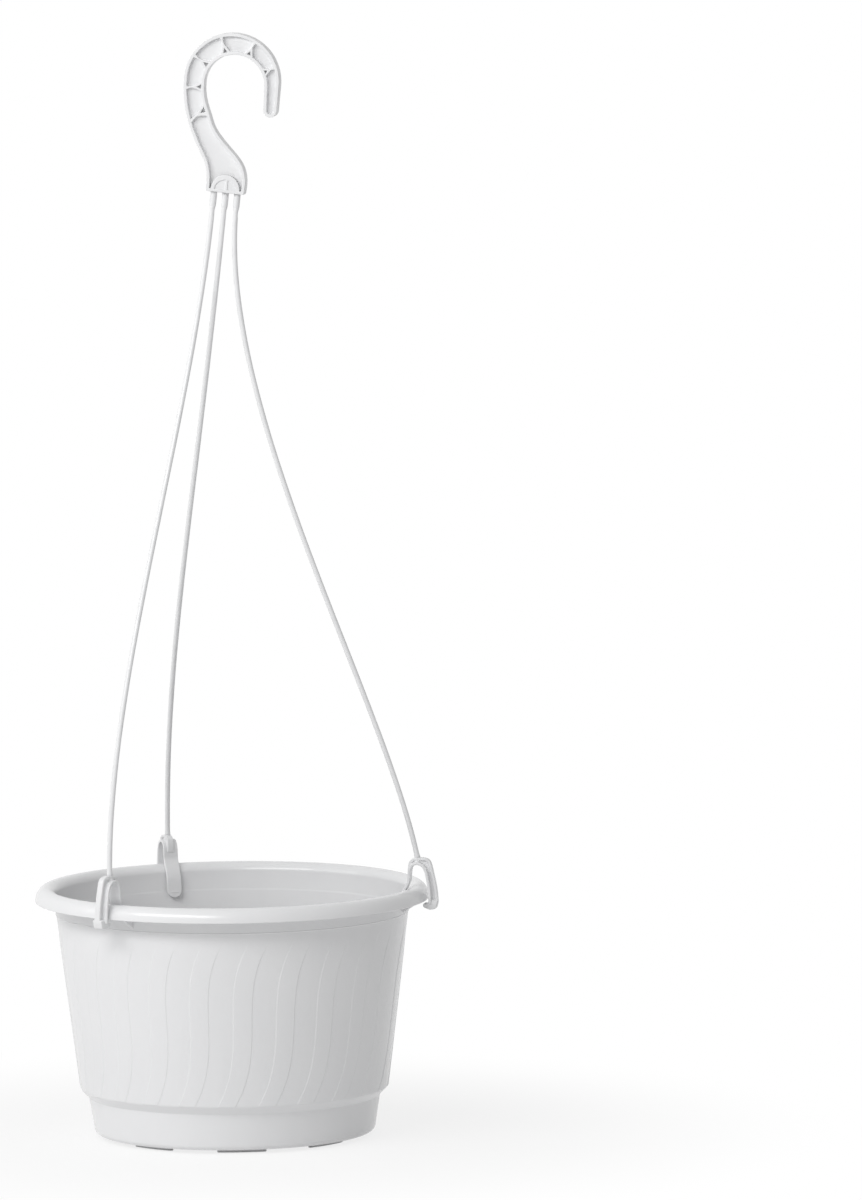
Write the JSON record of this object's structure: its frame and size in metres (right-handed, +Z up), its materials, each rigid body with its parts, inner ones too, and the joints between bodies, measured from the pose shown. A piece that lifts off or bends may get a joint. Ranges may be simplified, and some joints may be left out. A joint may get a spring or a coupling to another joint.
{
  "type": "hanging basket",
  "caption": "White plastic hanging pot with a rolled rim, a clip-on three-strand hanger with a hook, and a black reservoir insert.",
  "frame": {"origin": "on the pot's axis, in the plane of its feet", "axes": "+Z up along the pot's axis; +X towards the first clip and the open side of the hook; the hook lies in the XZ plane"},
  "size_m": [0.2574, 0.25, 0.7007],
  "materials": {
    "pot_white": "white polypropylene, satin moulded surface",
    "hanger_white": "white polypropylene, slightly milky where the strands are drawn",
    "insert_black": "black polypropylene, satin moulded surface"
  },
  "bodies": {
    "pot": {"pot": "pot_white"},
    "insert": {"water_insert": "insert_black"},
    "strands": {"strand_1": "hanger_white", "strand_2": "hanger_white", "strand_3": "hanger_white"},
    "hook": {"hook": "hanger_white"},
    "clip_1": {"clip_1": "hanger_white"},
    "clip_2": {"clip_2": "hanger_white"},
    "clip_3": {"clip_3": "hanger_white"}
  },
  "joints": [
    {"name": "insert_lift", "type": "slide", "parent": "pot", "child": "insert", "axis": [0, 0, 1], "range_m": [0, 0.13]},
    {"name": "hanger_turn", "type": "hinge", "parent": "pot", "child": "strands", "pos_m": [0, 0, 0.16], "axis": [0, 0, 1], "range_deg": [-3, 3]},
    {"name": "hook_twist", "type": "hinge", "parent": "strands", "child": "hook", "pos_m": [0.0018, 0, 0.6], "axis": [0.1115, 0, 0.9938], "range_deg": [-30, 30], "stiffness_Nm_per_rad": 0.02},
    {"name": "clip_1_rock", "type": "hinge", "parent": "strands", "child": "clip_1", "pos_m": [0.1194, 0, 0.1783], "axis": [0, 1, 0], "range_deg": [-2, 2]},
    {"name": "clip_2_rock", "type": "hinge", "parent": "strands", "child": "clip_2", "pos_m": [-0.0597, 0.1034, 0.1783], "axis": [-0.866, -0.5, 0], "range_deg": [-2, 2]},
    {"name": "clip_3_rock", "type": "hinge", "parent": "strands", "child": "clip_3", "pos_m": [-0.0597, -0.1034, 0.1783], "axis": [0.866, -0.5, 0], "range_deg": [-2, 2]}
  ]
}
